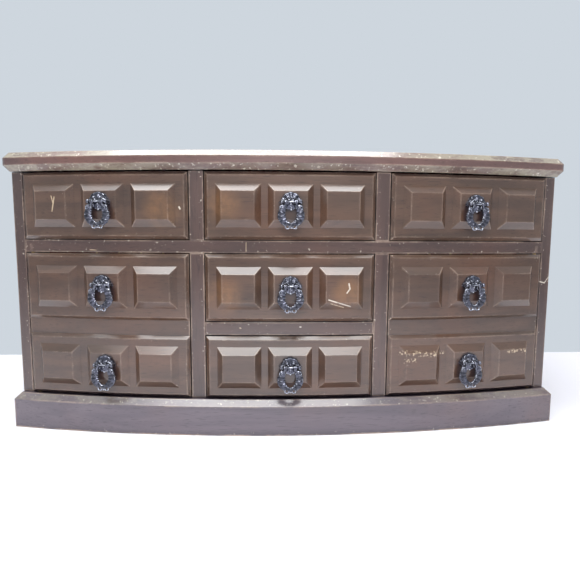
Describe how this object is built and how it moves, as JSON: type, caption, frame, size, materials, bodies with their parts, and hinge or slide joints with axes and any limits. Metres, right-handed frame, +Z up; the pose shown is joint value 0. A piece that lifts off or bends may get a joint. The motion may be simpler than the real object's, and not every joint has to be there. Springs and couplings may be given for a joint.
{
  "type": "musical jewelry box",
  "caption": "Bow-fronted musical jewelry box: hinged lid over a tray, panelled drawers and cupboard doors with hanging bail pulls, and a key-wound music movement.",
  "frame": {"origin": "centre of the underside, on the surface that the box stands on", "axes": "+Z up, -Y out of the bowed front, +X to the right of a viewer who faces the front"},
  "size_m": [0.404, 0.2392, 0.1973],
  "materials": {
    "case_wood": "semi-gloss brown lacquer",
    "lid_wood": "semi-gloss brown lacquer, scuffed edges",
    "front_wood": "semi-gloss brown lacquer",
    "inner_wood": "plain thin stained board",
    "flock": "deep red flock",
    "antique_metal": "dark antiqued casting",
    "mirror_glass": "polished",
    "hinge_brass": "satin",
    "movement_brass": "satin",
    "movement_steel": "satin"
  },
  "bodies": {
    "case": {"plinth_front": "case_wood", "plinth_sides": "case_wood", "plinth_back": "case_wood", "bottom_board": "inner_wood", "side_panels": "case_wood", "back_panel": "inner_wood", "partitions": "inner_wood", "end_stiles": "case_wood", "mullions_upper": "case_wood", "mullions_lower": "case_wood", "upper_rail": "case_wood", "lower_rail": "case_wood", "dust_board": "inner_wood", "drawer_shelf": "inner_wood", "top_tray": "flock", "ring_rolls": "flock", "necklace_hooks": "hinge_brass", "door_pins": "hinge_brass", "hinge_leaves_case": "hinge_brass", "movement_bedplate": "movement_brass", "music_comb": "movement_steel", "governor_bracket": "movement_steel", "movement_screws": "movement_steel"},
    "lid": {"lid": "lid_wood", "lid_mirror": "mirror_glass", "hinge_leaves_lid": "hinge_brass"},
    "top_left_drawer": {"top_left_front": "front_wood", "top_left_box": "inner_wood", "top_left_plate": "antique_metal"},
    "top_middle_drawer": {"top_middle_front": "front_wood", "top_middle_box": "inner_wood", "top_middle_plate": "antique_metal"},
    "top_right_drawer": {"top_right_front": "front_wood", "top_right_box": "inner_wood", "top_right_plate": "antique_metal"},
    "centre_drawer": {"centre_front": "front_wood", "centre_box": "inner_wood", "centre_plate": "antique_metal"},
    "bottom_drawer": {"bottom_front": "front_wood", "bottom_box": "inner_wood", "bottom_plate": "antique_metal"},
    "left_door": {"door_left": "front_wood", "door_left_plates": "antique_metal"},
    "right_door": {"door_right": "front_wood", "door_right_plates": "antique_metal"},
    "top_left_pull": {"top_left_bail": "antique_metal"},
    "top_middle_pull": {"top_middle_bail": "antique_metal"},
    "top_right_pull": {"top_right_bail": "antique_metal"},
    "centre_pull": {"centre_bail": "antique_metal"},
    "bottom_pull": {"bottom_bail": "antique_metal"},
    "bottom_left_pull": {"bottom_left_bail": "antique_metal"},
    "centre_left_pull": {"centre_left_bail": "antique_metal"},
    "bottom_right_pull": {"bottom_right_bail": "antique_metal"},
    "centre_right_pull": {"centre_right_bail": "antique_metal"},
    "winding": {"winding_key": "movement_steel", "spring_barrel": "movement_brass"},
    "drum": {"music_drum": "movement_brass"},
    "wheel": {"governor_wheel": "movement_brass"},
    "fan": {"governor_fan": "movement_steel"},
    "stop": {"stop_rod": "movement_steel"}
  },
  "joints": [
    {"name": "lid_hinge", "type": "hinge", "parent": "case", "child": "lid", "pos_m": [0, 0.10515, 0.184], "axis": [-1, 0, 0], "range_deg": [0, 95]},
    {"name": "top_left_slide", "type": "slide", "parent": "case", "child": "top_left_drawer", "axis": [0, -1, 0], "range_m": [0, 0.13]},
    {"name": "top_middle_slide", "type": "slide", "parent": "case", "child": "top_middle_drawer", "axis": [0, -1, 0], "range_m": [0, 0.09]},
    {"name": "top_right_slide", "type": "slide", "parent": "case", "child": "top_right_drawer", "axis": [0, -1, 0], "range_m": [0, 0.13]},
    {"name": "centre_slide", "type": "slide", "parent": "case", "child": "centre_drawer", "axis": [0, -1, 0], "range_m": [0, 0.14]},
    {"name": "bottom_slide", "type": "slide", "parent": "case", "child": "bottom_drawer", "axis": [0, -1, 0], "range_m": [0, 0.14]},
    {"name": "left_door_hinge", "type": "hinge", "parent": "case", "child": "left_door", "pos_m": [-0.1843, -0.08618, 0.0765], "axis": [0, 0, -1], "range_deg": [0, 90]},
    {"name": "right_door_hinge", "type": "hinge", "parent": "case", "child": "right_door", "pos_m": [0.1843, -0.08618, 0.0765], "axis": [0, 0, 1], "range_deg": [0, 90]},
    {"name": "top_left_pull_hinge", "type": "hinge", "parent": "top_left_drawer", "child": "top_left_pull", "pos_m": [-0.13039, -0.10829, 0.1625], "axis": [-0.9895, 0.1443, 0], "range_deg": [0, 80]},
    {"name": "top_middle_pull_hinge", "type": "hinge", "parent": "top_middle_drawer", "child": "top_middle_pull", "pos_m": [0, -0.11775, 0.1625], "axis": [-1, 0, 0], "range_deg": [0, 80]},
    {"name": "top_right_pull_hinge", "type": "hinge", "parent": "top_right_drawer", "child": "top_right_pull", "pos_m": [0.13039, -0.10829, 0.1625], "axis": [-0.9895, -0.1443, 0], "range_deg": [0, 80]},
    {"name": "centre_pull_hinge", "type": "hinge", "parent": "centre_drawer", "child": "centre_pull", "pos_m": [0, -0.11775, 0.1061], "axis": [-1, 0, 0], "range_deg": [0, 80]},
    {"name": "bottom_pull_hinge", "type": "hinge", "parent": "bottom_drawer", "child": "bottom_pull", "pos_m": [0, -0.11775, 0.0499], "axis": [-1, 0, 0], "range_deg": [0, 80]},
    {"name": "bottom_left_pull_hinge", "type": "hinge", "parent": "left_door", "child": "bottom_left_pull", "pos_m": [-0.13039, -0.10829, 0.0499], "axis": [-0.9895, 0.1443, 0], "range_deg": [0, 80]},
    {"name": "centre_left_pull_hinge", "type": "hinge", "parent": "left_door", "child": "centre_left_pull", "pos_m": [-0.13039, -0.10829, 0.1061], "axis": [-0.9895, 0.1443, 0], "range_deg": [0, 80]},
    {"name": "bottom_right_pull_hinge", "type": "hinge", "parent": "right_door", "child": "bottom_right_pull", "pos_m": [0.13039, -0.10829, 0.0499], "axis": [-0.9895, -0.1443, 0], "range_deg": [0, 80]},
    {"name": "centre_right_pull_hinge", "type": "hinge", "parent": "right_door", "child": "centre_right_pull", "pos_m": [0.13039, -0.10829, 0.1061], "axis": [-0.9895, -0.1443, 0], "range_deg": [0, 80]},
    {"name": "key_turn", "type": "hinge", "parent": "case", "child": "winding", "pos_m": [-0.012, 0.10265, 0.1487], "axis": [0, 1, 0], "continuous": true},
    {"name": "drum_turn", "type": "hinge", "parent": "case", "child": "drum", "pos_m": [0.0125, 0.08505, 0.1449], "axis": [1, 0, 0], "continuous": true},
    {"name": "wheel_turn", "type": "hinge", "parent": "case", "child": "wheel", "pos_m": [0.0266, 0.08505, 0.1449], "axis": [1, 0, 0], "continuous": true},
    {"name": "fan_turn", "type": "hinge", "parent": "case", "child": "fan", "pos_m": [0.0266, 0.08065, 0.1449], "axis": [0, 0, 1], "continuous": true},
    {"name": "stop_rod_slide", "type": "slide", "parent": "case", "child": "stop", "axis": [0, 0, 1], "range_m": [0, 0.003]}
  ],
  "couplings": [
    {"joint": "drum_turn", "follows": "key_turn", "ratio": 3},
    {"joint": "wheel_turn", "follows": "key_turn", "ratio": -6},
    {"joint": "fan_turn", "follows": "key_turn", "ratio": 30},
    {"joint": "stop_rod_slide", "follows": "lid_hinge", "m_per_rad": 0.0017973}
  ]
}
